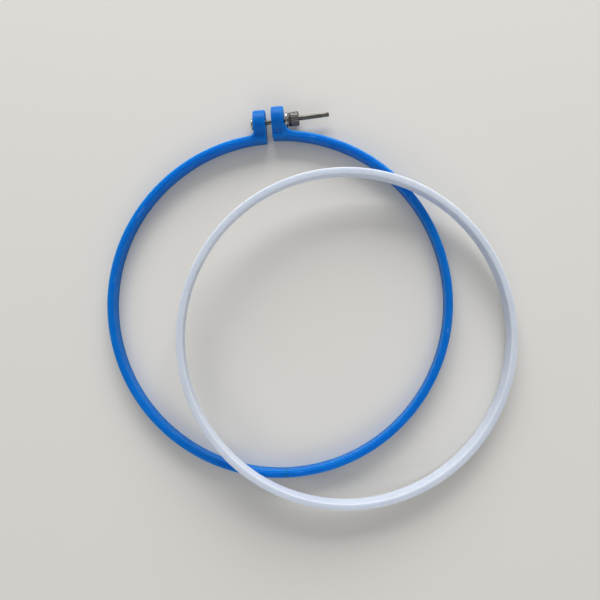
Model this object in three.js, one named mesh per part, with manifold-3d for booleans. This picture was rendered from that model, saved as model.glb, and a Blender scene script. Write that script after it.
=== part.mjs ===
// A screw-tension embroidery hoop: a closed inner ring and a split outer ring whose two
// lugs are drawn together by a bolt and a knurled nut. The outer ring lies flat, and the
// inner ring, taken out of it, leans across it with one edge on the same surface.
// Millimetres, +Z up. The split of the outer ring is on +Y, and the bolt runs along +X but
// for a few degrees.

import * as THREE from 'three';
import { mergeVertices } from 'three/addons/utils/BufferGeometryUtils.js';
import Module from 'manifold-3d';

const wasm = await Module();
wasm.setup();

// Driving dimensions

// Both rings
const hoopRadius = 99.5;         // outside of the inner ring
const clothRoom = 0.5;           // left all round between the nested rings for the cloth
const outerWall = 4.3;           // thickness of the outer ring
const innerWall = 4.0;           // thickness of the inner ring
const ringHeight = 9.6;
const crownRadius = 1.5;         // rounding of the outer ring's top edge
const brimRadius = 0.7;          // rounding of the inner ring's top edges
const footRadius = 0.5;          // rounding of the bottom edges
const stepWidth = 0.7;           // ledge along the inner top edge of the outer ring
const stepDepth = 0.5;
const ringFacets = 96;

// Lugs of the outer ring
const splitGap = 3.8;            // between the lugs
const lugWidth = 7.4;            // along the bolt
const boltReach = 6.6;           // bolt axis beyond the outside of the ring
const boltHeight = 6.0;          // bolt axis above the base
const neckRadius = 2.2;          // hollow between a lug's round end and the ring's crest
const lugEdge = 0.6;             // rounding of the lug's long edges
const headFillet = 3.6;          // from the head-side lug into the ring, seen from above
const nutFillet = 7.3;           // from the nut-side lug into the ring, seen from above
const endShift = 0.85;           // the nut-side end springs this far out, the other one in
const springStart = 0.94;        // share of the radius at which an end has its whole shift
const boltSkew = 3.9;            // degrees by which the bolt crosses the lugs off square

// Bolt
const boltRadius = 1.45;
const boltLength = 47;           // under the head
const boltTip = 0.5;             // chamfer at the end
const headRadius = 3.5;
const headThickness = 1.5;
const headDome = 0.7;            // height of the rounded part of the head
const slotWidth = 0.9;
const slotDepth = 0.7;

// Washer and knurled nut
const runClearance = 0.2;        // bores, all round the bolt
const seatGap = 0.3;             // between faces that bear on each other
const washerRadius = 4.6;
const washerThickness = 1.0;
const nutRadius = 4.3;
const nutLength = 6.8;
const nutShoulder = 1.4;         // plain collar towards the washer
const shoulderRadius = 4.0;
const nutChamfer = 0.5;
const knurlCount = 26;
const knurlDepth = 0.4;
const knurlLand = 0.4;           // share of the knurl's pitch that is left at full size

// How finely curves are cut
const edgeSteps = 4;             // a rounded edge
const filletSteps = 5;           // half of the facets of a fillet seen from above
const lugSteps = 9;              // half of the facets of a lug's end and of its neck
const domeSteps = 5;             // the bolt's head
const turnedFacets = 32;
const weld = 1e-4;               // points closer than this are one

// Inner ring as it lies
const restOffset = 46.5;         // its centre from that of the outer ring
const restDirection = -30.2;     // degrees from +X

// Colours and finishes
const blue = { color: 0x1669cd, roughness: 0.38, metalness: 0 };
const white = { color: 0xdde6f2, roughness: 0.4, metalness: 0 };
const steel = { color: 0x77726a, roughness: 0.35, metalness: 1 };
const bright = { color: 0xc9c6bf, roughness: 0.25, metalness: 1 };
const nickel = { color: 0x8e8b8f, roughness: 0.4, metalness: 1 };

// Sizes that follow

const splitRadius = hoopRadius + clothRoom;
const outerRadius = splitRadius + outerWall;
const crestRadius = splitRadius + outerWall / 2;
const lugRoot = crestRadius - 2 * lugEdge;
const boltAxis = outerRadius + boltReach;
const lugFace = splitGap / 2 + lugWidth;
const lugCentre = (splitGap + lugWidth) / 2;

// The round end of a lug, about the bolt, is as large as meets the hollow that ends level
// on the ring's crest.
const lugSpan = boltAxis - crestRadius;
const lugDrop = ringHeight - boltHeight;
const knuckleRadius = Math.hypot(lugSpan, lugDrop + neckRadius) - neckRadius;

// The bolt is off square, so a hole has room for its slope, and what bears on a lug does so
// with one edge.
const slope = Math.tan(THREE.MathUtils.degToRad(boltSkew));
const holeSlip = Math.abs(endShift - lugCentre * slope);
const holeRadius = boltRadius + runClearance + holeSlip + (lugWidth / 2) * slope;
const washerFace = seatGap + Math.max(
  lugFace + washerRadius * slope,
  filletReach(nutFillet, boltAxis - washerRadius) - washerRadius * slope,
);
const nutFace = washerFace + washerThickness + seatGap;
const headFace = -lugFace - seatGap - headRadius * slope;

// Helpers

// An outline with rounded corners. Each corner is [x, y, radius].
function roundedOutline(corners) {
  const outline = new THREE.Shape();
  corners.forEach(([x, y, radius], index) => {
    const here = new THREE.Vector2(x, y);
    const last = new THREE.Vector2(...corners.at(index - 1)).sub(here).normalize();
    const next = new THREE.Vector2(...corners[(index + 1) % corners.length]).sub(here).normalize();
    if (radius === 0) {
      if (index === 0) outline.moveTo(x, y);
      else outline.lineTo(x, y);
      return;
    }
    const half = Math.acos(last.dot(next)) / 2;
    const centre = last.clone().add(next).setLength(radius / Math.sin(half)).add(here);
    const start = last.clone().setLength(radius / Math.tan(half)).add(here).sub(centre);
    const end = next.clone().setLength(radius / Math.tan(half)).add(here).sub(centre);
    const clockwise = start.cross(end) < 0;
    outline.absarc(centre.x, centre.y, radius, start.angle(), end.angle(), clockwise);
  });
  return outline;
}

// The outline's points, without those that fall on the one before.
function outlinePoints(outline, arcSteps) {
  const points = outline.getPoints(arcSteps);
  return points.filter((point, index) => point.distanceTo(points.at(index - 1)) > weld);
}

// A ring of the outline's section about Z; the outline holds radius and height.
function revolve(outline, facets) {
  const points = outlinePoints(outline, edgeSteps / 2);
  const closed = [...points, points[0].clone()];
  return solid(new THREE.LatheGeometry(closed, facets).rotateX(Math.PI / 2));
}

// A turned piece along +X; each point is [radius, distance along the axis].
function turn(profile, facets = turnedFacets) {
  const points = profile.map(([radius, along]) => new THREE.Vector2(radius, along));
  return solid(new THREE.LatheGeometry(points, facets).rotateZ(-Math.PI / 2));
}

// A rod along X from one place to another, about the axis.
function rod(radius, from, to, facets = turnedFacets) {
  return turn([[0, from], [radius, from], [radius, to], [0, to]], facets);
}

function block(size, centre) {
  return solid(new THREE.BoxGeometry(...size).translate(...centre));
}

// A geometry through outlines of as many points each, one above the other.
function loft(levels) {
  const count = levels[0].points.length;
  const corners = levels.flatMap(({ points, z }) => points.flatMap(({ x, y }) => [x, y, z]));
  const faces = [];
  for (let level = 0; level < levels.length - 1; level += 1) {
    for (let i = 0; i < count; i += 1) {
      const here = level * count + i;
      const next = level * count + ((i + 1) % count);
      faces.push(here, next, next + count, here, next + count, here + count);
    }
  }
  const top = (levels.length - 1) * count;
  for (const [a, b, c] of THREE.ShapeUtils.triangulateShape(levels[0].points, [])) {
    faces.push(a, c, b, top + a, top + b, top + c);
  }
  const geometry = new THREE.BufferGeometry();
  geometry.setAttribute('position', new THREE.Float32BufferAttribute(corners, 3));
  geometry.setIndex(faces);
  return geometry;
}

// Turns what was drawn in X and Y and raised along Z to stand in Y and Z, along X.
function standAlongX(geometry) {
  return geometry.applyMatrix4(new THREE.Matrix4().makeBasis(
    new THREE.Vector3(0, 1, 0),
    new THREE.Vector3(0, 0, 1),
    new THREE.Vector3(1, 0, 0),
  ));
}

// How far a rounded edge of this radius has come in, and how deep it is, at each step.
function edgeRounding(radius) {
  return Array.from({ length: edgeSteps + 1 }, (_, step) => {
    const angle = (step / edgeSteps) * (Math.PI / 2);
    return { inset: radius * (1 - Math.sin(angle)), depth: radius * (1 - Math.cos(angle)) };
  });
}

// A closed geometry as a solid for cutting and joining, faces outwards.
function solid(geometry) {
  geometry.deleteAttribute('normal');
  geometry.deleteAttribute('uv');
  const merged = mergeVertices(geometry, weld);
  const triVerts = Uint32Array.from(merged.index.array);
  const build = () => new wasm.Manifold(new wasm.Mesh({
    numProp: 3,
    vertProperties: Float32Array.from(merged.attributes.position.array),
    triVerts,
  }));
  const made = build();
  if (made.volume() > 0) return made;
  triVerts.reverse();
  return build();
}

function piece(name, shape, finish) {
  const { vertProperties, triVerts } = shape.getMesh();
  const geometry = new THREE.BufferGeometry();
  geometry.setAttribute('position', new THREE.BufferAttribute(vertProperties, 3));
  geometry.setIndex(new THREE.BufferAttribute(triVerts, 1));
  const flat = geometry.toNonIndexed();
  flat.computeVertexNormals();
  const mesh = new THREE.Mesh(flat, new THREE.MeshStandardMaterial(finish));
  mesh.name = name;
  return mesh;
}

// Centre of the fillet between a lug's side and the outside of a ring, seen from above.
function filletCentre(radius, ringRadius = outerRadius) {
  const across = lugFace + radius;
  return new THREE.Vector2(across, Math.sqrt((ringRadius + radius) ** 2 - across ** 2));
}

// How far along X that fillet stands out at a given Y.
function filletReach(radius, y) {
  const centre = filletCentre(radius);
  const below = Math.max(centre.y - y, 0);
  return centre.x - Math.sqrt(radius ** 2 - below ** 2);
}

// Outer ring

function splitRingSection() {
  return roundedOutline([
    [splitRadius, 0, footRadius],
    [outerRadius, 0, footRadius],
    [outerRadius, ringHeight, crownRadius],
    [splitRadius + stepWidth, ringHeight, stepDepth],
    [splitRadius + stepWidth, ringHeight - stepDepth, 0],
    [splitRadius, ringHeight - stepDepth, 0],
  ]);
}

// Side view of a lug: the round end about the bolt, and a neck that sweeps down from it
// to lie level with the ring's crest. The inset draws the outline in all round.
function lugOutline(inset) {
  const neckAngle = Math.atan2(lugDrop + neckRadius, -lugSpan);
  const endRadius = knuckleRadius - inset;
  const baseAngle = -Math.asin((boltHeight - inset) / endRadius);
  const outline = new THREE.Shape();
  outline.absarc(boltAxis, boltHeight, endRadius, baseAngle, neckAngle, false);
  outline.absarc(crestRadius, ringHeight + neckRadius, neckRadius + inset,
    neckAngle - Math.PI, -Math.PI / 2, true);
  outline.lineTo(lugRoot, ringHeight - inset);
  outline.lineTo(lugRoot, inset);
  return outline;
}

function makeLug(from) {
  const near = edgeRounding(lugEdge).map(({ inset, depth }) => ({ inset, along: from + depth }));
  const far = near.map(({ inset, along }) => ({ inset, along: 2 * from + lugWidth - along }));
  return solid(standAlongX(loft([...near, ...far.reverse()].map(({ inset, along }) => (
    { z: along, points: outlinePoints(lugOutline(inset), lugSteps) }
  )))));
}

// Seen from above: what flares from the lugs' sides into a ring of this outside.
function flareOutline(ringRadius) {
  const headCentre = filletCentre(headFillet, ringRadius);
  const nutCentre = filletCentre(nutFillet, ringRadius);
  const outline = new THREE.Shape();
  const ringAngle = (centre) => Math.atan2(-centre.y, -centre.x);
  const nutSide = Math.atan2(nutCentre.y, nutCentre.x);
  const headSide = Math.atan2(headCentre.y, -headCentre.x);
  outline.absarc(0, 0, crestRadius, headSide, nutSide, true);
  outline.absarc(nutCentre.x, nutCentre.y, nutFillet, ringAngle(nutCentre), -Math.PI, true);
  outline.absarc(-headCentre.x, headCentre.y, headFillet, 0,
    Math.atan2(-headCentre.y, headCentre.x), true);
  return outline;
}

// The flare follows the rounded foot and crown of the ring, level by level.
function makeFlare() {
  const foot = edgeRounding(footRadius).map(({ inset, depth }) => ({ inset, z: depth }));
  const crown = edgeRounding(crownRadius).map(({ inset, depth }) => (
    { inset, z: ringHeight - depth }
  ));
  return solid(loft([...foot, ...crown.reverse()].map(({ inset, z }) => (
    { z, points: outlinePoints(flareOutline(outerRadius - inset), filletSteps) }
  ))));
}

// The ring is a spring: towards the split its two ends part, one outwards and one inwards.
function springApart(point) {
  const share = THREE.MathUtils.smoothstep(point[1], 0, springStart * splitRadius);
  point[1] += Math.sign(point[0]) * endShift * share;
}

function makeOuterRing() {
  const lugs = [-lugFace, splitGap / 2].map(makeLug);
  const beyond = boltAxis + knuckleRadius - splitRadius;
  const split = block([splitGap, 2 * beyond, 4 * ringHeight], [0, splitRadius + beyond, 0]);
  const hole = rod(holeRadius, -2 * lugFace, 2 * lugFace).translate([0, boltAxis, boltHeight]);
  const ring = revolve(splitRingSection(), ringFacets).add(makeFlare()).subtract(split);
  return lugs.reduce((whole, lug) => whole.add(lug), ring).subtract(hole).warp(springApart);
}

// Inner ring

function makeInnerRing() {
  const inside = hoopRadius - innerWall;
  return revolve(roundedOutline([
    [inside, 0, footRadius],
    [hoopRadius, 0, footRadius],
    [hoopRadius, ringHeight, brimRadius],
    [inside, ringHeight, brimRadius],
  ]), ringFacets);
}

// Angle at which the inner ring leans: its far edge is on the surface, and its base
// passes just over the last of the outer ring's crest that it crosses.
function leanAngle() {
  const crest = outerRadius - crownRadius;
  const inside = hoopRadius - innerWall + footRadius;
  const crossing = (crest ** 2 - inside ** 2 + restOffset ** 2) / (2 * restOffset);
  return Math.asin((ringHeight + seatGap) / (hoopRadius + restOffset - crossing));
}

// Hardware, each piece turned about the bolt's axis

function makeBolt() {
  const headEnd = headFace - headThickness;
  const dome = [];
  for (let step = 0; step <= domeSteps; step += 1) {
    const angle = (step / domeSteps) * (Math.PI / 2);
    dome.push([headRadius * Math.sin(angle), headEnd + headDome * (1 - Math.cos(angle))]);
  }
  const tip = headFace + boltLength;
  const body = turn([
    ...dome,
    [headRadius, headFace],
    [boltRadius, headFace],
    [boltRadius, tip - boltTip],
    [boltRadius - boltTip, tip],
    [0, tip],
  ]);
  const slot = block([2 * slotDepth, 3 * headRadius, slotWidth], [headEnd, 0, 0]);
  return body.subtract(slot);
}

function makeWasher() {
  const bore = boltRadius + runClearance;
  return rod(washerRadius, washerFace, washerFace + washerThickness)
    .subtract(rod(bore, washerFace - seatGap, nutFace));
}

// A round outline with as many grooves as the knurl has.
function knurlOutline() {
  const outline = new THREE.Shape();
  const pitch = (2 * Math.PI) / knurlCount;
  for (let i = 0; i < knurlCount; i += 1) {
    const at = (radius, share) => [
      radius * Math.cos((i + share) * pitch),
      radius * Math.sin((i + share) * pitch),
    ];
    if (i === 0) outline.moveTo(...at(nutRadius, 0));
    else outline.lineTo(...at(nutRadius, 0));
    outline.lineTo(...at(nutRadius, knurlLand));
    outline.lineTo(...at(nutRadius - knurlDepth, (1 + knurlLand) / 2));
  }
  return outline;
}

function makeNut() {
  const end = nutFace + nutLength;
  const grip = nutFace + nutShoulder;
  const knurl = solid(standAlongX(new THREE.ExtrudeGeometry(knurlOutline(), {
    depth: end - grip,
    bevelEnabled: false,
  })).translate(grip, 0, 0));
  const envelope = turn([
    [0, grip],
    [nutRadius - nutChamfer, grip],
    [nutRadius, grip + nutChamfer],
    [nutRadius, end - nutChamfer],
    [nutRadius - nutChamfer, end],
    [0, end],
  ], 2 * knurlCount);
  const collar = rod(shoulderRadius, nutFace, grip + nutChamfer);
  return knurl.intersect(envelope).add(collar)
    .subtract(rod(boltRadius + runClearance, nutFace - seatGap, end + seatGap));
}

// The whole hoop

const onBolt = new THREE.Group();
onBolt.position.set(0, boltAxis, boltHeight);
onBolt.rotation.z = Math.atan(slope);
onBolt.add(piece('bolt', makeBolt(), steel));
onBolt.add(piece('washer', makeWasher(), bright));
onBolt.add(piece('nut', makeNut(), nickel));

// The inner ring leans about the level line across its direction of rest.
const innerRing = piece('inner_ring', makeInnerRing(), white);
const bearing = THREE.MathUtils.degToRad(restDirection);
const hingeLine = new THREE.Vector3(-Math.sin(bearing), Math.cos(bearing), 0);
innerRing.quaternion.setFromAxisAngle(hingeLine, leanAngle());
innerRing.position.set(restOffset * Math.cos(bearing), restOffset * Math.sin(bearing), 0);
innerRing.position.z = -new THREE.Box3().setFromObject(innerRing, true).min.z;

const hoop = new THREE.Group();
hoop.name = 'embroidery_hoop';
hoop.add(piece('outer_ring', makeOuterRing(), blue), innerRing, onBolt);

// The origin is the middle of the hoop's footprint, on the surface that it lies on.
const extent = new THREE.Box3().setFromObject(hoop, true);
const middle = extent.getCenter(new THREE.Vector3());
hoop.position.set(-middle.x, -middle.y, -extent.min.z);

export default hoop;
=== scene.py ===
# %% [markdown]
# # A screw-tension embroidery hoop
# The hoop is two plastic rings and a screw. The blue outer ring is split, and each side of
# the split ends in a lug. A bolt runs through both lugs, and a knurled nut draws them
# together to clamp cloth against the white inner ring. Here the hoop lies open on a table:
# the white ring has been taken out and leans across the blue one.
#
# Sizes that the solids already hold are measured on the frame. What is finer than the
# solids, such as the thread and the soft edges, is set here in millimetres.

import math

import bmesh
import bpy
import numpy as np
from mathutils import Matrix, Vector


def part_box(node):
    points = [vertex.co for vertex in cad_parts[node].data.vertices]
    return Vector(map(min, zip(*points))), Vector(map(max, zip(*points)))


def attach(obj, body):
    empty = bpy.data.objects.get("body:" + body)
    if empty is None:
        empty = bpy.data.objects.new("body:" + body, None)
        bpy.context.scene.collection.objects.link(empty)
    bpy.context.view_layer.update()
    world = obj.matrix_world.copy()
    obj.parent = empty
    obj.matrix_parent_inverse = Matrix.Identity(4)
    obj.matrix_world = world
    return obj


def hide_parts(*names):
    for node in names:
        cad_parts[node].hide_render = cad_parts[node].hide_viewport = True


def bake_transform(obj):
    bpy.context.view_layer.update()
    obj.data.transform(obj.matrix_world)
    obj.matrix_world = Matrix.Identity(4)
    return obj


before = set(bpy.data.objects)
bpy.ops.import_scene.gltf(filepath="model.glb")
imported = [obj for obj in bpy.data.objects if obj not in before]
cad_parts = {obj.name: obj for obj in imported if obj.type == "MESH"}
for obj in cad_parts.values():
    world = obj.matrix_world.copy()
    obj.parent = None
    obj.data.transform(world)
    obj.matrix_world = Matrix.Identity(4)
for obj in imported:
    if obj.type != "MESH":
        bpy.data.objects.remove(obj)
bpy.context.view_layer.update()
mm = 0.001
print("Nodes:", ", ".join(sorted(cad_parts)))

# %% [markdown]
# ## Where things are
# Where each piece lies could be typed in again here, but then it would have to be put right
# whenever the solids change, so it is measured. The outer ring is a true circle away from
# its split, so its box gives its radius, and the radius gives its centre.
#
# The other pieces are turned on an axis that isn't square to the frame. The points of a
# turned piece spread equally both ways across its axis and differently along it, so the
# directions of spread give the axis without knowing anything else about how the piece lies.

# %% Measure the outer ring
ring_low, ring_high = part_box("outer_ring")
ring_outside = (ring_high.x - ring_low.x) / 2
ring_centre = Vector(((ring_low.x + ring_high.x) / 2, ring_low.y + ring_outside, 0))
on_table = Matrix.Translation(ring_centre)
ring_height = 9.6 * mm
print("Outer ring:", round(2 * ring_outside / mm, 1), "mm across")


# %% Find the axis of a turned piece
def turned_axis(node, towards):
    points = np.array([v.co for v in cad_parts[node].data.vertices])
    middle = points.mean(axis=0)
    spreads, directions = np.linalg.eigh(np.cov((points - middle).T))
    odd_one = max(range(3), key=lambda k: abs(spreads[k] - np.delete(spreads, k).mean()))
    axis = Vector(directions[:, odd_one])
    if axis.dot(towards) < 0:
        axis.negate()
    return Vector(middle), axis


def extent_on(axis, origin, node):
    """From where to where the piece reaches along the axis, and its radius."""
    apart = np.array([v.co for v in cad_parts[node].data.vertices]) - np.array(origin)
    along = apart @ np.array(axis)
    across = np.linalg.norm(apart - np.outer(along, axis), axis=1)
    return float(along.min()), float(along.max()), float(across.max())


# %% Measure the bolt
bolt_middle, bolt_axis = turned_axis("bolt", Vector((1, 0, 0)))
at_split = (ring_centre.x - bolt_middle.x) / bolt_axis.x
bolt_origin = bolt_middle + bolt_axis * at_split
bolt_out = bolt_origin.y - ring_centre.y
bolt_height = bolt_origin.z
bolt_start, bolt_end, head_radius = extent_on(bolt_axis, bolt_origin, "bolt")
skew = Matrix.Rotation(math.atan2(bolt_axis.y, bolt_axis.x), 4, "Z")
on_bolt = Matrix.Translation(bolt_origin) @ skew
print("Bolt axis", round(bolt_out / mm, 1), "mm out,", round(bolt_height / mm, 1), "mm up and",
      round(math.degrees(math.atan2(bolt_axis.y, bolt_axis.x)), 2), "degrees off square")

# %% [markdown]
# ## Turning a bmesh into a piece
# Every piece is modelled round its own axis first, because that is the easy place to spin
# and extrude. At the end the mesh itself is moved to where the piece lies. The object could
# be moved instead, but all pieces share one frame, so each stays at the origin, unturned.
#
# Faces that meet at a shallow angle are shaded smooth. A Weighted Normal modifier keeps the
# flats flat between their rounded edges, which costs fewer faces than a finer mesh would.

# %% Make a piece from a bmesh
def make_piece(name, bm, place, finish, sharp_angle=35):
    bmesh.ops.recalc_face_normals(bm, faces=bm.faces)
    bm.transform(place)
    mesh = bpy.data.meshes.new(name)
    bm.to_mesh(mesh)
    bm.free()
    mesh.shade_smooth()
    mesh.set_sharp_from_angle(angle=math.radians(sharp_angle))
    mesh.materials.append(finish)
    piece = bpy.data.objects.new(name, mesh)
    bpy.context.scene.collection.objects.link(piece)
    normals = piece.modifiers.new("Flat faces stay flat", "WEIGHTED_NORMAL")
    normals.keep_sharp = True
    print(name, "has", len(mesh.polygons), "faces")
    return piece


# %% [markdown]
# ## Colours
# A colour picked from a screen is in sRGB, and a shader wants it linear. The linear
# values could be written down as they are, but few people can read them, so each colour is
# given as on the screen and converted here.

# %% Convert a colour
def colour(red, green, blue):
    def linear(value):
        share = value / 255
        return share / 12.92 if share <= 0.04045 else ((share + 0.055) / 1.055) ** 2.4

    return (linear(red), linear(green), linear(blue), 1)


# %% [markdown]
# ## Small helpers for finishes
# A finish is a tree of nodes. It could be put together by hand in the Shader Editor, but a
# script gives the same tree each time. Each helper adds one node and hands back its output,
# so that a finish below reads like a sum.

# %% Numbers and noises
def new_finish(name):
    finish = bpy.data.materials.new(name)
    finish.use_nodes = True
    tree = finish.node_tree
    return finish, tree, tree.nodes["Principled BSDF"]


def feed(tree, socket, value):
    """Links the output of another node to a socket, or sets a plain value on it."""
    if isinstance(value, bpy.types.NodeSocket):
        tree.links.new(value, socket)
    else:
        socket.default_value = value


def calculate(tree, operation, *values):
    node = tree.nodes.new("ShaderNodeMath")
    node.operation = operation
    for socket, value in zip(node.inputs, values):
        feed(tree, socket, value)
    return node.outputs["Value"]


def noise(tree, vector, scale, detail=3):
    node = tree.nodes.new("ShaderNodeTexNoise")
    node.inputs["Scale"].default_value = scale
    node.inputs["Detail"].default_value = detail
    tree.links.new(vector, node.inputs["Vector"])
    return node.outputs["Fac"]


def between(tree, factor, low, high, start=0.3, stop=0.7):
    """Low where the factor is at its start, high where it is at its stop."""
    node = tree.nodes.new("ShaderNodeMapRange")
    node.inputs["From Min"].default_value = start
    node.inputs["From Max"].default_value = stop
    node.inputs["To Min"].default_value = low
    node.inputs["To Max"].default_value = high
    tree.links.new(factor, node.inputs["Value"])
    return node.outputs["Result"]


# %% Mixed colours and raised bumps
def blend_colours(tree, factor, first, second):
    node = tree.nodes.new("ShaderNodeMix")
    node.data_type = "RGBA"
    tree.links.new(factor, node.inputs["Factor"])
    for name, value in (("A", first), ("B", second)):
        feed(tree, next(s for s in node.inputs if s.name == name and s.type == "RGBA"), value)
    return next(s for s in node.outputs if s.type == "RGBA")


def raise_bumps(tree, shader, height, distance):
    bump = tree.nodes.new("ShaderNodeBump")
    bump.inputs["Distance"].default_value = distance
    tree.links.new(height, bump.inputs["Height"])
    tree.links.new(bump.outputs["Normal"], shader.inputs["Normal"])


# %% [markdown]
# ## Coordinates that follow a turned piece
# Marks on a turned or moulded ring run round it, so its finish needs to know where the ring's
# own axis is. Each mesh could be unwrapped for that, but a turned piece is simple enough to
# do without. A Mapping node takes the object's coordinates into the piece's own frame, and
# there the distance from the axis and the place along it are simple sums.

# %% Own frame, distance from the axis and place along it
def place_in(tree, piece_frame):
    back = piece_frame.inverted()
    mapping = tree.nodes.new("ShaderNodeMapping")
    mapping.inputs["Location"].default_value = back.to_translation()
    mapping.inputs["Rotation"].default_value = back.to_euler()
    place = tree.nodes.new("ShaderNodeTexCoord").outputs["Object"]
    tree.links.new(place, mapping.inputs["Vector"])
    return mapping.outputs["Vector"]


def split_up(tree, vector):
    node = tree.nodes.new("ShaderNodeSeparateXYZ")
    tree.links.new(vector, node.inputs["Vector"])
    return [node.outputs[axis] for axis in "XYZ"]


def put_together(tree, *values):
    node = tree.nodes.new("ShaderNodeCombineXYZ")
    for socket, value in zip(node.inputs, values):
        tree.links.new(value, socket)
    return node.outputs["Vector"]


def distance_from_axis(tree, first, second):
    squares = [calculate(tree, "MULTIPLY", value, value) for value in (first, second)]
    return calculate(tree, "SQRT", calculate(tree, "ADD", *squares))


def round_the_ring(tree, vector, length, width):
    """Coordinates in which a noise stretches round the ring: this long and this wide."""
    x, y, z = split_up(tree, vector)
    out = distance_from_axis(tree, x, y)
    far = ring_outside / length
    round_x = calculate(tree, "MULTIPLY", calculate(tree, "DIVIDE", x, out), far)
    round_y = calculate(tree, "MULTIPLY", calculate(tree, "DIVIDE", y, out), far)
    across = calculate(tree, "DIVIDE", calculate(tree, "ADD", out, z), width)
    return put_together(tree, round_x, round_y, across)


# %% [markdown]
# ## Marks of use
# Both rings show the same two marks. A scratch is the line where a noise, stretched along
# the ring, passes its middle value, kept only where a second noise is high. The outer top
# edge is rubbed in patches by the hands that hold it. A picture of scratches would need an
# unwrapped mesh and would repeat, so both are reckoned from the place on the ring.
#
# The scale of a plain noise is counted per metre: at a scale of 100 it changes about every
# 10 mm.

# %% Thin scratches
scratch_length = 70 * mm
scratch_spacing = 3.5 * mm
scratch_width = 0.01
scratched_patch_scale = 130


def scratches(tree, vector):
    stretched = round_the_ring(tree, vector, scratch_length, scratch_spacing)
    from_middle = calculate(tree, "ABSOLUTE", calculate(
        tree, "SUBTRACT", noise(tree, stretched, 1, detail=1), 0.5))
    line = between(tree, from_middle, 1, 0, start=0, stop=scratch_width)
    patch_noise = noise(tree, vector, scratched_patch_scale, detail=1)
    patch = between(tree, patch_noise, 0, 1, start=0.56, stop=0.64)
    return calculate(tree, "MULTIPLY", line, patch)


# %% A rubbed outer top edge
rubbed_patch_scale = 160
rubbed_fully = 0.3 * mm
rubbed_reach = 1.2 * mm


def rubbed_edge(tree, vector, outside):
    x, y, z = split_up(tree, vector)
    short_of_side = calculate(tree, "SUBTRACT", outside, distance_from_axis(tree, x, y))
    short_of_top = calculate(tree, "SUBTRACT", ring_height, z)
    from_corner = distance_from_axis(tree, short_of_side, short_of_top)
    edge = between(tree, from_corner, 1, 0, start=rubbed_fully, stop=rubbed_reach)
    patch = between(tree, noise(tree, vector, rubbed_patch_scale), 0, 1, start=0.48, stop=0.62)
    return calculate(tree, "MULTIPLY", edge, patch)


# %% [markdown]
# ## Moulded plastic
# Both rings are injection moulded. One colour and one roughness would show them as they
# left the mould, but a hoop in use isn't so even. What shows is the mould and the use:
# - the pigment is almost even, but drifts a little along the ring;
# - the mould was turned, and its fine lines run round the ring;
# - handling leaves duller patches and a few thin scratches, and rubs the outer top edge
#   smooth, and both show paler on the blue plastic and greyer on the white;
# - the skin has a faint waviness of its own;
# - light gets some way into the plastic, deeper into the blue than into the white, so a
#   ring glows softly past its lit side.

# %% How strong each trait of the plastic is
pigment_scale = 40
handling_scale = 230
skin_scale = 2400
mould_line_length = 9 * mm
mould_line_width = 0.22 * mm
mould_line_roughness = 0.04
mould_line_share = 0.6
skin_height = 0.012 * mm
scratch_share = 0.25
rubbed_share = 0.12
rubbed_smoothness = 0.08
plastic_gloss = 0.1
plastic_glow = 0.9


# %% Moulded plastic
def moulded_plastic(name, ring_frame, outside, tone, second_tone, scratch_tone, roughness, depth):
    finish, tree, shader = new_finish(name)
    place = place_in(tree, ring_frame)
    pigment = between(tree, noise(tree, place, pigment_scale), 0, 1)
    base = blend_colours(tree, pigment, tone, second_tone)
    scratch = calculate(tree, "MULTIPLY", scratches(tree, place), scratch_share)
    rubbed = rubbed_edge(tree, place, outside)
    marked = calculate(tree, "MAXIMUM", scratch,
                       calculate(tree, "MULTIPLY", rubbed, rubbed_share))
    worn = blend_colours(tree, marked, base, scratch_tone)
    tree.links.new(worn, shader.inputs["Base Color"])

    stretched = round_the_ring(tree, place, mould_line_length, mould_line_width)
    lines = noise(tree, stretched, 1, detail=2)
    handling = between(tree, noise(tree, place, handling_scale, detail=4),
                       roughness - 0.06, roughness + 0.07)
    lined = calculate(tree, "ADD", handling, between(
        tree, lines, -mould_line_roughness, mould_line_roughness))
    smoothed = calculate(tree, "SUBTRACT", lined,
                         calculate(tree, "MULTIPLY", rubbed, rubbed_smoothness))
    tree.links.new(smoothed, shader.inputs["Roughness"])
    shader.inputs["Specular IOR Level"].default_value = plastic_gloss
    shader.inputs["Subsurface Weight"].default_value = plastic_glow
    shader.inputs["Subsurface Radius"].default_value = (1, 1, 1)
    shader.inputs["Subsurface Scale"].default_value = depth
    skin = calculate(tree, "ADD", noise(tree, place, skin_scale, detail=2),
                     calculate(tree, "MULTIPLY", lines, mould_line_share))
    raise_bumps(tree, shader, skin, skin_height)
    return finish


# %% [markdown]
# ## Metals
# The bolt is plain rolled steel and slightly dull. The washer and the nut are plated. All
# are metallic, so what they show is mostly what is around them. Turning leaves fine lines
# round each.
#
# Each metal is painted darker deep in its grooves, and this darkening is painted shade: in
# the thread's roots, in the knurl's grooves and on the nut's faces, and round the washer's
# bore. It could be painted on by hand, but it always lies deep in the grooves, so the
# distance from the bolt's axis can place it. Random patches of grime, the metal's own, lie
# over it everywhere.

# %% Plated and rolled metal
# How far the painted shade in the grooves fades out at each end, along the bolt.
groove_shade_fade = 0.1 * mm
dirt_patch_scale = 420
dirt_patch_share = 0.35
wear_scale = 900
turning_width = 0.09 * mm
turning_length = 3 * mm
turning_height = 0.004 * mm


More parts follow.
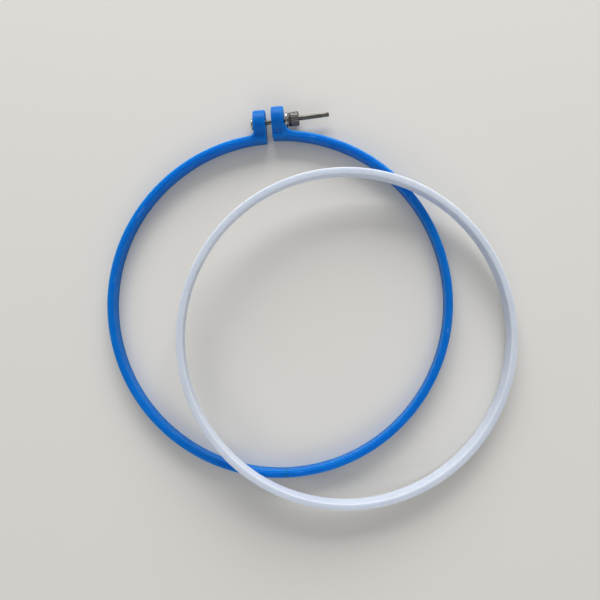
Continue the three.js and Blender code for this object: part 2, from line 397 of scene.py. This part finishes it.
def metal(name, tone, shade_and_grime_tone, roughness, shade_free_radius, full_shade_radius, grooved):
    """Painted shade inside one radius and none outside the other, between the two ends of what
    is grooved, both measured along the bolt. Grime patches lie over it everywhere."""
    finish, tree, shader = new_finish(name)
    shader.inputs["Metallic"].default_value = 1
    place = place_in(tree, on_bolt)
    along, y, z = split_up(tree, place)
    out = distance_from_axis(tree, y, z)
    # Painted shade: darker within a given distance of the bolt's axis, deep in the grooves.
    groove_shade = between(tree, out, 1, 0, start=full_shade_radius, stop=shade_free_radius)
    first, last = grooved
    after = between(tree, along, 0, 1, start=first, stop=first + groove_shade_fade)
    before = between(tree, along, 1, 0, start=last - groove_shade_fade, stop=last)
    groove_shade = calculate(tree, "MULTIPLY", groove_shade, calculate(tree, "MULTIPLY", after, before))
    patches = between(tree, noise(tree, place, dirt_patch_scale), 0, dirt_patch_share)
    # The painted shade in the grooves, or the real grime patches, whichever is stronger.
    shade_and_grime = calculate(tree, "MAXIMUM", groove_shade, patches)
    tree.links.new(blend_colours(tree, shade_and_grime, tone, shade_and_grime_tone), shader.inputs["Base Color"])

    worn = between(tree, noise(tree, place, wear_scale, detail=4),
                   roughness - 0.08, roughness + 0.08)
    rough = calculate(tree, "ADD", worn, calculate(tree, "MULTIPLY", shade_and_grime, 0.2))
    tree.links.new(rough, shader.inputs["Roughness"])
    sizes = ((along, turning_width), (out, turning_width), (y, turning_length))
    stretched = put_together(
        tree, *[calculate(tree, "DIVIDE", value, size) for value, size in sizes])
    raise_bumps(tree, shader, noise(tree, stretched, 1, detail=2), turning_height)
    return finish


# %% The three metals
head_thickness = 1.5 * mm
threaded = (bolt_start + head_thickness, bolt_end - groove_shade_fade)
everywhere = (bolt_start, bolt_end)
# Each metal's second colour is the painted shade deep in its grooves, and its grime too.
bolt_steel = metal("bolt_steel", colour(168, 165, 156), colour(44, 40, 35), roughness=0.28,
                   shade_free_radius=1.4 * mm, full_shade_radius=1.22 * mm, grooved=threaded)
bright_steel = metal("bright_steel", colour(168, 167, 164), colour(128, 126, 122), roughness=0.26,
                     shade_free_radius=1.9 * mm, full_shade_radius=1.7 * mm, grooved=everywhere)
nickel = metal("nickel", colour(136, 131, 130), colour(77, 73, 72), roughness=0.44,
               shade_free_radius=4.25 * mm, full_shade_radius=3.9 * mm, grooved=everywhere)
for finish in (bolt_steel, bright_steel, nickel):
    print(finish.name, "has", len(finish.node_tree.nodes), "nodes")

# %% [markdown]
# ## The rings' section
# A ring is one flat outline turned about an upright axis. The outline starts as its sharp
# corners, and a vertex bevel rounds each corner with an arc, which is how a drawing of the
# mould would give it. An edge bevel on the finished ring could do the same, but it would
# have to find its edges among thousands. The outer ring has a small ledge along its inner
# top edge, and its crown is rounder than the inner ring's.

# %% Draw a section with rounded corners
crown_radius = 1.5 * mm
brim_radius = 0.7 * mm
foot_radius = 0.5 * mm
outer_wall = 4.3 * mm
ledge_width = 0.7 * mm
ledge_depth = 0.5 * mm
ledge_edge = 0.18 * mm
split_radius = ring_outside - outer_wall
crest_radius = ring_outside - outer_wall / 2


def draw_section(corners):
    bm = bmesh.new()
    drawn = [bm.verts.new((radius, 0, height)) for radius, height, _, _ in corners]
    bm.faces.new(drawn)
    for vert, (_, _, rounding, segments) in zip(drawn, corners):
        bmesh.ops.bevel(bm, geom=[vert], offset=rounding, offset_type="OFFSET",
                        affect="VERTICES", segments=segments, profile=0.5, material=-1)
    return bm


def draw_outer_section():
    ledge = split_radius + ledge_width
    shelf = ring_height - ledge_depth
    return draw_section([
        (split_radius, 0, foot_radius, 4),
        (ring_outside, 0, foot_radius, 4),
        (ring_outside, ring_height, crown_radius, 8),
        (ledge, ring_height, ledge_depth * 0.8, 5),
        (ledge, shelf, ledge_edge / 2, 2),
        (split_radius, shelf, ledge_edge, 3),
    ])


# %% [markdown]
# ## A lug
# Each end of the outer ring carries a lug. From the side it is a round end about the bolt,
# with a neck that sweeps down to lie level with the ring. From above, its outer side runs
# into the ring in a fillet. A real moulding has no seam and no sharp inside corner there.
#
# The lug and the end of the ring are modelled as two simple masses that overlap, and are
# made one afterwards. The lug's side is drawn with arcs, by spinning a point about the bolt
# and about the middle of the neck's curve, and is then filled, extruded and bevelled.

# %% Sizes of the lugs
same_plane = 1e-7
split_gap = 3.8 * mm
lug_width = 7.4 * mm
lug_near = split_gap / 2
lug_far = lug_near + lug_width
neck_radius = 2.2 * mm
lug_span = bolt_out - crest_radius
lug_drop = ring_height - bolt_height
knuckle_radius = math.hypot(lug_span, lug_drop + neck_radius) - neck_radius
lug_edge = 0.6 * mm
hole_radius = 2.39 * mm
hole_edge = 0.35 * mm
head_fillet = 3.6 * mm
nut_fillet = 7.3 * mm
end_edge = 0.3 * mm
print("Lugs:", round(lug_width / mm, 1), "mm wide, their round ends",
      round(knuckle_radius / mm, 2), "mm in radius")


# %% The side outline of a lug, drawn by spinning a point
knuckle_steps = 30
neck_steps = 10


def spin_point(bm, start, centre, angle, steps):
    turned = bmesh.ops.spin(bm, geom=[start], cent=centre, axis=(1, 0, 0), dvec=(0, 0, 0),
                            angle=angle, steps=steps, use_merge=False, use_duplicate=False)
    return next(g for g in turned["geom_last"] if isinstance(g, bmesh.types.BMVert))


def draw_lug_outline(bm):
    neck_angle = math.atan2(lug_drop + neck_radius, -lug_span)
    base_angle = -math.asin(bolt_height / knuckle_radius)
    root = crest_radius - 2 * lug_edge
    toe = bolt_out + knuckle_radius * math.cos(base_angle)
    first = bm.verts.new((lug_near, toe, 0))
    neck = spin_point(bm, first, (lug_near, bolt_out, bolt_height),
                      neck_angle - base_angle, knuckle_steps)
    neck_centre = (lug_near, crest_radius, ring_height + neck_radius)
    level = spin_point(bm, neck, neck_centre, math.pi / 2 - neck_angle, neck_steps)
    top = bm.verts.new((lug_near, root, ring_height))
    foot = bm.verts.new((lug_near, root, 0))
    for pair in ((level, top), (top, foot), (foot, first)):
        bm.edges.new(pair)


# %% The lug as a solid
hole_segments = 40
rim_angle = math.radians(60)


def lug_mass():
    bm = bmesh.new()
    draw_lug_outline(bm)
    about_bolt = Matrix.Translation((lug_near, bolt_out, bolt_height)) @ Matrix.Rotation(
        math.pi / 2, 4, "Y")
    bmesh.ops.create_circle(bm, cap_ends=False, segments=hole_segments, radius=hole_radius,
                            matrix=about_bolt)
    side = bmesh.ops.triangle_fill(bm, edges=bm.edges[:], use_beauty=True)
    faces = [g for g in side["geom"] if isinstance(g, bmesh.types.BMFace)]
    raised = bmesh.ops.extrude_face_region(bm, geom=faces)["geom"]
    moved = [g for g in raised if isinstance(g, bmesh.types.BMVert)]
    bmesh.ops.translate(bm, verts=moved, vec=(lug_width, 0, 0))
    bmesh.ops.recalc_face_normals(bm, faces=bm.faces)
    rims = [e for e in bm.edges if len(e.link_faces) == 2
            and abs(e.verts[0].co.x - e.verts[1].co.x) < same_plane
            and e.calc_face_angle() > rim_angle]
    at_hole = [e for e in rims if all(
        (Vector((0, v.co.y, v.co.z)) - Vector((0, bolt_out, bolt_height))).length
        < hole_radius + hole_edge for v in e.verts)]
    outside = [e for e in rims if e not in set(at_hole)]
    for edges, size in ((outside, lug_edge), (at_hole, hole_edge)):
        bmesh.ops.bevel(bm, geom=edges, offset=size, offset_type="OFFSET", affect="EDGES",
                        segments=4, profile=0.5, material=-1)
    return bm


# %% [markdown]
# ## The ring's end
# Where the ring runs into its lug, its outer side curves up into the lug's. The ring's
# section is carried along slice by slice, and in each slice the outer corners are moved out
# to where the fillet has got to. A bevel on the corner between ring and lug could make the
# fillet too, but that corner only exists once the two are joined, and a bevel that wide
# would run over the edges beside it.

# %% Where the ring's outer side runs beside the lug
seam_angle = math.radians(11)
sweep_end = 25 * mm
into_lug = 0.3 * mm
fillet_steps = 14
plain_steps = 6


def edge_beyond(radius, across, fillet):
    """How far out, at this distance from the split, the line is that starts on the ring at
    this radius and turns up into the lug's side."""
    on_ring = math.sqrt(radius ** 2 - across ** 2)
    if radius < crest_radius or across < lug_far - into_lug:
        return on_ring
    centre_across = lug_far + fillet
    centre_out = math.sqrt((radius + fillet) ** 2 - centre_across ** 2)
    if across >= centre_across * radius / (radius + fillet):
        return on_ring
    if across <= lug_far:
        return centre_out
    return centre_out - math.sqrt(fillet ** 2 - (across - centre_across) ** 2)


def slices_along(fillet):
    angles = [k / fillet_steps * math.pi / 2 for k in range(fillet_steps + 1)]
    on_fillet = [lug_far + fillet * (1 - math.cos(angle)) for angle in angles]
    inside = [lug_near, lug_far - 2 * into_lug, lug_far - into_lug]
    left = sweep_end - on_fillet[-1]
    return inside + on_fillet + [
        on_fillet[-1] + left * (k + 1) / plain_steps for k in range(plain_steps)]


# %% Sweep the section away from the split
def swept_end(fillet):
    bm = draw_outer_section()
    face = bm.faces[:][0]
    radius_of = bm.verts.layers.float.new("radius")
    for vert in bm.verts:
        vert[radius_of] = vert.co.x
    for number, across in enumerate(slices_along(fillet)):
        if number:
            raised = bmesh.ops.extrude_face_region(bm, geom=[face])["geom"]
            face = next(g for g in raised if isinstance(g, bmesh.types.BMFace))
        for vert in face.verts:
            vert.co = (across, edge_beyond(vert[radius_of], across, fillet), vert.co.z)
    rim = [e for e in bm.edges if all(abs(v.co.x - lug_near) < same_plane for v in e.verts)]
    bmesh.ops.bevel(bm, geom=rim, offset=end_edge, offset_type="OFFSET", affect="EDGES",
                    segments=3, profile=0.5, material=-1)
    bmesh.ops.recalc_face_normals(bm, faces=bm.faces)
    return bm


# %% [markdown]
# ## One skin over both masses
# A Boolean union of the lug and the ring's end would leave a hard crease all round. One
# voxel remesh over both leaves a single closed surface, and a little smoothing softens the
# corners where they meet. Only this short end is made so, because a remesh of the whole
# ring would cost a great many faces and blur its ledge.

# %% Work on a bmesh through modifiers
def temporary_object(bm):
    mesh = bpy.data.meshes.new("temporary")
    bm.to_mesh(mesh)
    bm.free()
    holder = bpy.data.objects.new("temporary", mesh)
    bpy.context.scene.collection.objects.link(holder)
    return holder


def after_modifiers(holder):
    evaluated = holder.evaluated_get(bpy.context.evaluated_depsgraph_get())
    result = bmesh.new()
    result.from_mesh(evaluated.to_mesh())
    return result


# %% Skin both masses with one surface
skin_voxel = 0.2 * mm
skin_passes = 3


def joined(parts):
    whole = bmesh.new()
    for part in parts:
        mesh = bpy.data.meshes.new("part")
        part.to_mesh(mesh)
        part.free()
        whole.from_mesh(mesh)
        bpy.data.meshes.remove(mesh)
    return whole


def skinned(bm):
    masses = temporary_object(bm)
    skin = masses.modifiers.new("Skin", "REMESH")
    skin.mode = "VOXEL"
    skin.voxel_size = skin_voxel
    result = after_modifiers(masses)
    bpy.data.objects.remove(masses)
    for _ in range(skin_passes):
        bmesh.ops.smooth_vert(result, verts=result.verts, factor=0.5,
                              use_axis_x=True, use_axis_y=True, use_axis_z=True)
    return result


# %% [markdown]
# ## Half a ring
# The skinned end is cut off square to the ring, and the plain ring is spun on from there to
# the far side. One row of triangles bridges the fine rim of the skin to the coarser rim of
# the spun part. Both halves come from the same function: the one under the bolt's head is
# the mirror image of the other, with a tighter fillet.
#
# The ring is modelled as two halves, one each side of the split. The real ring is a spring:
# when the nut runs along the bolt, the lug beside it goes with it, and the ring behind that
# lug bends. Being a spring it doesn't lie quite true either: the end on the nut's side
# stands a little further out than the other.

# %% The plain part of a half
ring_step = math.radians(0.75)
bridge_gap = math.radians(0.25)


def turn_by(angle):
    """A turn towards the far side of the ring, from the split on +Y round by +X."""
    return Matrix.Rotation(math.pi / 2 - angle, 4, "Z")


def spun_part():
    bm = draw_outer_section()
    start = seam_angle + bridge_gap
    bm.transform(turn_by(start))
    open_face = bm.faces[:]
    sweep = math.pi - start
    bmesh.ops.spin(bm, geom=bm.verts[:] + bm.edges[:] + bm.faces[:], cent=(0, 0, 0),
                   axis=(0, 0, -1), dvec=(0, 0, 0), angle=sweep,
                   steps=round(sweep / ring_step), use_merge=False, use_duplicate=False)
    bmesh.ops.delete(bm, geom=open_face, context="FACES_ONLY")
    return bm


# %% Build the half that stays still
end_shift = 0.85 * mm
whole_shift = 0.94 * split_radius


def spring_outwards(bm, shift):
    """Moves the end of a half away from the ring's centre, and the rest less and less."""
    for vert in bm.verts:
        share = min(max(vert.co.y / whole_shift, 0), 1)
        vert.co.y += shift * share * share * (3 - 2 * share)


def half_ring(fillet, mirrored):
    end = skinned(joined([lug_mass(), swept_end(fillet)]))
    square_to_ring = Vector((math.cos(seam_angle), -math.sin(seam_angle), 0))
    bmesh.ops.bisect_plane(end, geom=end.verts[:] + end.edges[:] + end.faces[:], dist=1e-6,
                           plane_co=(0, 0, 0), plane_no=square_to_ring, clear_outer=True)
    bm = joined([end, spun_part()])
    rims = [e for e in bm.edges if e.is_boundary]
    bmesh.ops.bridge_loops(bm, edges=rims)
    spring_outwards(bm, -end_shift if mirrored else end_shift)
    if mirrored:
        bmesh.ops.scale(bm, vec=(-1, 1, 1), verts=bm.verts)
    return bm


blue_plastic = moulded_plastic(
    "blue_plastic", on_table, ring_outside, tone=colour(2, 104, 187),
    second_tone=colour(1, 98, 181), scratch_tone=colour(120, 175, 230),
    roughness=0.4, depth=12 * mm)
left_half = make_piece("outer_ring_head_half", half_ring(head_fillet, True), on_table,
                       blue_plastic)
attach(left_half, "hoop")
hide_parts("outer_ring")


def on_ring(angle):
    """A point of the ring's outside, by its angle from the split."""
    return on_table @ turn_by(angle) @ Vector((ring_outside, 0, 0))


right_half = make_piece("outer_ring_nut_half", half_ring(nut_fillet, False), on_table,
                        blue_plastic)
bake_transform(right_half)
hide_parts("outer_ring")

# %% [markdown]
# ## The inner ring
# The inner ring is the plain one: a closed band with its edges rounded. A tube primitive
# with an edge bevel would do for it, but it is made like the outer ring, from a section with
# rounded corners, so that the two match. It leans across the outer ring, so the frame is
# asked how it lies.

# %% Find how the inner ring lies
upright = Vector((0, 0, 1))
ring_middle, ring_axis = turned_axis("inner_ring", upright)
ring_base, _, inner_outside = extent_on(ring_axis, ring_middle, "inner_ring")
turn = ring_axis.to_track_quat("Z", "Y").to_matrix().to_4x4()
leaning = Matrix.Translation(ring_middle + ring_axis * ring_base) @ turn
print("Inner ring:", round(2 * inner_outside / mm, 1), "mm across, leaning",
      round(math.degrees(ring_axis.angle(upright)), 2), "degrees")

# %% Build the inner ring
inner_wall = 4.0 * mm
inner_steps = 480


def inner_ring():
    inside = inner_outside - inner_wall
    bm = draw_section([
        (inside, 0, foot_radius, 4),
        (inner_outside, 0, foot_radius, 4),
        (inner_outside, ring_height, brim_radius, 6),
        (inside, ring_height, brim_radius, 6),
    ])
    bmesh.ops.delete(bm, geom=bm.faces[:], context="FACES_ONLY")
    bmesh.ops.spin(bm, geom=bm.verts[:] + bm.edges[:], cent=(0, 0, 0), axis=(0, 0, 1),
                   dvec=(0, 0, 0), angle=2 * math.pi, steps=inner_steps, use_merge=True,
                   use_duplicate=False)
    return bm


white_plastic = moulded_plastic(
    "white_plastic", leaning, inner_outside, tone=colour(202, 209, 220),
    second_tone=colour(197, 204, 216), scratch_tone=colour(150, 156, 166),
    roughness=0.42, depth=5 * mm)
white_ring = make_piece("inner_ring_band", inner_ring(), leaning, white_plastic)
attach(white_ring, "loose_ring")
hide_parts("inner_ring")

# %% [markdown]
# ## The bolt
# The bolt is a common M3 screw with a domed, slotted head. A bump in its finish would look
# like a thread from above, but not along the outline or at the tip, so the thread is real
# geometry: one pitch of the thread's profile, spun about the axis while it moves along it,
# so that each turn ends where the next one starts. The doubles between turns are merged, and
# the two ragged ends are cut flat and closed.

# %% Spin the thread
thread_pitch = 0.5 * mm
thread_depth = 0.25 * mm
thread_radius = 1.45 * mm
thread_steps = 28
root_flat = 0.22
crest_start = 0.46
crest_stop = 0.74


def threaded_rod(start, stop):
    bm = bmesh.new()
    root = thread_radius - thread_depth
    profile = [(0, root), (root_flat, root), (crest_start, thread_radius),
               (crest_stop, thread_radius), (1, root)]
    first = start - 2 * thread_pitch
    points = [bm.verts.new((first + share * thread_pitch, 0, radius)) for share, radius in profile]
    edges = [bm.edges.new(pair) for pair in zip(points, points[1:])]
    turns = math.ceil((stop - start) / thread_pitch) + 4
    bmesh.ops.spin(bm, geom=points + edges, cent=(0, 0, 0), axis=(1, 0, 0),
                   dvec=(thread_pitch / thread_steps, 0, 0), angle=2 * math.pi * turns,
                   steps=thread_steps * turns, use_merge=False, use_duplicate=False)
    bmesh.ops.remove_doubles(bm, verts=bm.verts, dist=0.002 * mm)
    for place, outwards in ((start, -1), (stop, 1)):
        cut = bmesh.ops.bisect_plane(bm, geom=bm.verts[:] + bm.edges[:] + bm.faces[:], dist=1e-7,
                                     plane_co=(place, 0, 0), plane_no=(outwards, 0, 0),
                                     clear_outer=True)
        rim = [g for g in cut["geom_cut"] if isinstance(g, bmesh.types.BMEdge)]
        bmesh.ops.triangle_fill(bm, edges=rim, use_beauty=True)
    return bm


# %% Chamfer the tip
tip_chamfer = 0.45 * mm


def chamfer_tip(bm, end):
    """Draws in whatever stands outside a cone at the end of the rod."""
    for vert in bm.verts:
        limit = thread_radius - tip_chamfer + (end - vert.co.x)
        out = math.hypot(vert.co.y, vert.co.z)
        if out > limit > 0:
            vert.co.y *= limit / out
            vert.co.z *= limit / out


# %% [markdown]
# ## The bolt's head
# The head is a low dome with a slot for a screwdriver. It is turned from its profile, which
# holds the dome and the rounded rim. The slot could be made by moving points, but a cut
# through a dome has no simple outline, so an exact Boolean cuts it. The same Boolean joins
# the head to the thread, and leaves one closed solid.

# %% Sizes of the head
head_dome = 0.7 * mm
head_edge = 0.2 * mm
neck_edge = 0.25 * mm
slot_width = 0.9 * mm
slot_depth = 0.9 * mm
head_steps = 64


# %% Turn a profile, and draw an arc in it
def turned(points):
    """A closed turned piece from a profile that starts and ends on the axis."""
    bm = bmesh.new()
    line = [bm.verts.new((along, 0, radius)) for along, radius in points]
    edges = [bm.edges.new(pair) for pair in zip(line, line[1:])]
    bmesh.ops.spin(bm, geom=line + edges, cent=(0, 0, 0), axis=(1, 0, 0), dvec=(0, 0, 0),
                   angle=2 * math.pi, steps=head_steps, use_merge=True, use_duplicate=False)
    bmesh.ops.remove_doubles(bm, verts=bm.verts, dist=0.001 * mm)
    return bm


def arc(centre_along, centre_radius, radius, start, stop, steps):
    """Points on an arc in the profile's plane, by angle from the axis direction."""
    angles = [math.radians(start + (stop - start) * k / steps) for k in range(steps + 1)]
    return [(centre_along + radius * math.cos(a), centre_radius + radius * math.sin(a))
            for a in angles]


# %% The domed head
def bolt_head(end):
    seat = end + head_thickness
    sphere = (head_radius ** 2 + head_dome ** 2) / (2 * head_dome)
    half_angle = math.degrees(math.asin((head_radius - head_edge) / sphere))
    dome = arc(end + sphere, 0, sphere, 180, 180 - half_angle, 12)
    side = seat - head_edge
    return turned([
        *dome,
        (dome[-1][0] + head_edge, head_radius),
        (side, head_radius),
        *arc(side, head_radius - head_edge, head_edge, 90, 0, 3)[1:],
        (seat, thread_radius - thread_depth),
        (seat, 0),
    ])


# %% Join and cut with the exact Boolean
def combined(bm, other, operation):
    for part in (bm, other):
        bmesh.ops.recalc_face_normals(part, faces=part.faces)
    solid, tool = temporary_object(bm), temporary_object(other)
    work = solid.modifiers.new("Work", "BOOLEAN")
    work.operation = operation
    work.solver = "EXACT"
    work.object = tool
    result = after_modifiers(solid)
    bpy.data.objects.remove(solid)
    bpy.data.objects.remove(tool)
    return result


# %% Build the bolt
def slot_cutter():
    bm = bmesh.new()
    bmesh.ops.create_cube(bm, size=1)
    bmesh.ops.scale(bm, vec=(2 * slot_depth, 3 * head_radius, slot_width), verts=bm.verts)
    bmesh.ops.translate(bm, vec=(bolt_start, 0, 0), verts=bm.verts)
    return bm


def bolt():
    head = combined(bolt_head(bolt_start), slot_cutter(), "DIFFERENCE")
    rod = threaded_rod(bolt_start + head_thickness - neck_edge, bolt_end)
    chamfer_tip(rod, bolt_end)
    return combined(rod, head, "UNION")


screw = make_piece("bolt_threaded", bolt(), on_bolt, bolt_steel, sharp_angle=30)
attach(screw, "hoop")
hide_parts("bolt")

# %% [markdown]
# ## The washer
# The washer is a flat ring with rolled edges. It could be a cylinder with a hole cut
# through it, but its edges would have to be rounded afterwards, so it is drawn like the
# rings' section and turned about the bolt.

# %% Build the washer
run_clearance = 0.2 * mm
bore_radius = thread_radius + run_clearance
washer_edge = 0.22 * mm
along_bolt = Matrix.Rotation(math.pi / 2, 4, "Y")


def washer():
    near, far, radius = extent_on(bolt_axis, bolt_origin, "washer")
    bm = draw_section([
        (bore_radius, near, washer_edge / 2, 2),
        (radius, near, washer_edge, 4),
        (radius, far, washer_edge, 4),
        (bore_radius, far, washer_edge / 2, 2),
    ])
    bmesh.ops.delete(bm, geom=bm.faces[:], context="FACES_ONLY")
    bmesh.ops.spin(bm, geom=bm.verts[:] + bm.edges[:], cent=(0, 0, 0), axis=(0, 0, 1),
                   dvec=(0, 0, 0), angle=2 * math.pi, steps=96, use_merge=True,
                   use_duplicate=False)
    bm.transform(along_bolt)
    return bm


flat_washer = make_piece("washer_rolled", washer(), on_bolt, bright_steel)
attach(flat_washer, "washer")
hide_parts("washer")

# %% [markdown]
# ## The knurled nut
# The nut has a plain collar towards the washer and a knurled grip. The grooves could be cut
# one by one with Booleans, but moving points is quicker and leaves an even mesh. It starts
# as the circle of its bore, and that edge is extruded outwards and along, station by
# station. At each station the points are set to their radius, less the depth of a groove
# where one passes. The bore itself is bridged between the first and the last station.

# %% Sizes of the nut
knurls = 26
points_per_knurl = 10
knurl_depth = 0.4 * mm
knurl_land = 0.4
collar_length = 1.4 * mm
collar_radius = 4.0 * mm
collar_edge = 0.25 * mm
grip_chamfer = 0.5 * mm
countersink = 0.35 * mm
face_dish = 0.25 * mm


# %% The nut's grooves and profile
def groove(angle):
    """How deep the knurl's groove is at this angle, from 0 on a land to 1."""
    phase = angle * knurls / (2 * math.pi) % 1
    if phase < knurl_land:
        return 0
    return 1 - abs(phase - (1 + knurl_land) / 2) / ((1 - knurl_land) / 2)


def nut_stations():
    """Along the bolt, radius and depth of the grooves, from the collar to the free end."""
    near, far, radius = extent_on(bolt_axis, bolt_origin, "nut")
    grip = near + collar_length
    shoulder = radius - grip_chamfer
    rim = (shoulder + bore_radius) / 2
    rounding = arc(near + collar_edge, collar_radius - collar_edge, collar_edge, 180, 90, 4)
    return [
        (near + countersink, bore_radius, 0),
        (near, bore_radius + countersink, 0),
        *[(along, out, 0) for along, out in rounding],
        (grip - collar_edge, collar_radius, 0),
        (grip, collar_radius - collar_edge, 0),
        (grip, shoulder, 0),
        (grip + grip_chamfer, radius, 1),
        (far - grip_chamfer, radius, 1),
        (far, shoulder, 0),
        (far, rim + face_dish, 0),
        (far - face_dish, rim, 0),
        (far - face_dish, bore_radius + countersink, 0),
        (far - face_dish - countersink, bore_radius, 0),
    ]


# %% Build the nut
def knurled_nut():
    bm = bmesh.new()
    bmesh.ops.create_circle(bm, cap_ends=False, segments=knurls * points_per_knurl,
                            radius=bore_radius, matrix=along_bolt)
    ring = bm.edges[:]
    for number, (along, radius, depth) in enumerate(nut_stations()):
        if number:
            grown = bmesh.ops.extrude_edge_only(bm, edges=ring)["geom"]
            ring = [g for g in grown if isinstance(g, bmesh.types.BMEdge)]
        for vert in {v for e in ring for v in e.verts}:
            angle = math.atan2(vert.co.z, vert.co.y)
            out = radius - knurl_depth * depth * groove(angle)
            vert.co = (along, out * math.cos(angle), out * math.sin(angle))
    open_rims = [e for e in bm.edges if e.is_boundary]
    bmesh.ops.bridge_loops(bm, edges=open_rims)
    return bm


nut = make_piece("nut_knurled", knurled_nut(), on_bolt, nickel, sharp_angle=28)
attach(nut, "nut")
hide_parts("nut")

# %% [markdown]
# ## Table and light
# The hoop lies on a plain pale table. The light is what a photographer would use for a flat
# object: a large soft source towards the top of the picture, which models the crowns of
# the rings and throws a short shadow, a weak one from the other side, and an even surround
# that keeps the shadows open. The surround alone would light everything alike and show no
# form, and the large source alone would leave the inner walls black.

# %% A plain pale table
table_reach = 3
just_under = 0.02 * mm


def table():
    bm = bmesh.new()
    bmesh.ops.create_grid(bm, x_segments=1, y_segments=1, size=table_reach)
    bmesh.ops.translate(bm, vec=(0, 0, -just_under), verts=bm.verts)
    mesh = bpy.data.meshes.new("table")
    bm.to_mesh(mesh)
    bm.free()
    finish, _, shader = new_finish("table_paint")
    shader.inputs["Base Color"].default_value = colour(218, 216, 211)
    shader.inputs["Roughness"].default_value = 0.8
    shader.inputs["Specular IOR Level"].default_value = 0.2
    mesh.materials.append(finish)
    top = bpy.data.objects.new("table", mesh)
    bpy.context.scene.collection.objects.link(top)
    return top


table()

# %% Soft light
picture_up = Vector((0.052, 0.9986, 0))


def soft_light(name, towards, elevation, distance, size, watts):
    """A lamp in this direction and this many degrees up, that far away in metres."""
    lamp = bpy.data.lights.new(name, "AREA")
    lamp.shape = "RECTANGLE"
    lamp.size, lamp.size_y = size
    lamp.energy = watts
    holder = bpy.data.objects.new(name, lamp)
    raised = math.radians(elevation)
    direction = towards.normalized() * math.cos(raised) + Vector((0, 0, math.sin(raised)))
    holder.location = direction * distance
    holder.rotation_euler = direction.to_track_quat("Z", "Y").to_euler()
    bpy.context.scene.collection.objects.link(holder)
    print(name, "light:", watts, "W from", elevation, "degrees up")


soft_light("key", picture_up, elevation=24, distance=2.2, size=(2.0, 1.2), watts=57)
soft_light("fill", -picture_up, elevation=35, distance=1.4, size=(1.0, 0.6), watts=3)

# %% An even surround
world = bpy.data.worlds.new("surround")
world.use_nodes = True
surround = world.node_tree.nodes["Background"]
surround.inputs["Color"].default_value = (1, 1, 1, 1)
surround.inputs["Strength"].default_value = 0.45
bpy.context.scene.world = world

# %% [markdown]
# ## Camera
# The camera looks almost straight down from a little over a third of a metre. A camera with
# no perspective would show only the tops of the rings. At so short a distance their inner
# walls show all round, as they do in the photograph.

# %% Set the camera
camera_data = bpy.data.cameras.new("camera")
camera_data.lens = 33.6
camera_data.sensor_width = 36
camera_data.clip_start = 10 * mm
camera = bpy.data.objects.new("camera", camera_data)
camera.location = Vector((10.6, -13.9, 343.9)) * mm
camera.rotation_euler = [math.radians(angle) for angle in (2.6, 2.7, -3.0)]
bpy.context.scene.collection.objects.link(camera)
bpy.context.scene.camera = camera
bpy.context.scene.view_settings.view_transform = "Standard"

# %% [markdown]
# ## Boxes as plain numbers
# The dressed hoop has to keep inside the solids' box. A box's corners are turned into lists
# of plain numbers here.

# %% Corners as plain numbers
def corners(box):
    return [[float(value) for value in corner] for corner in box]
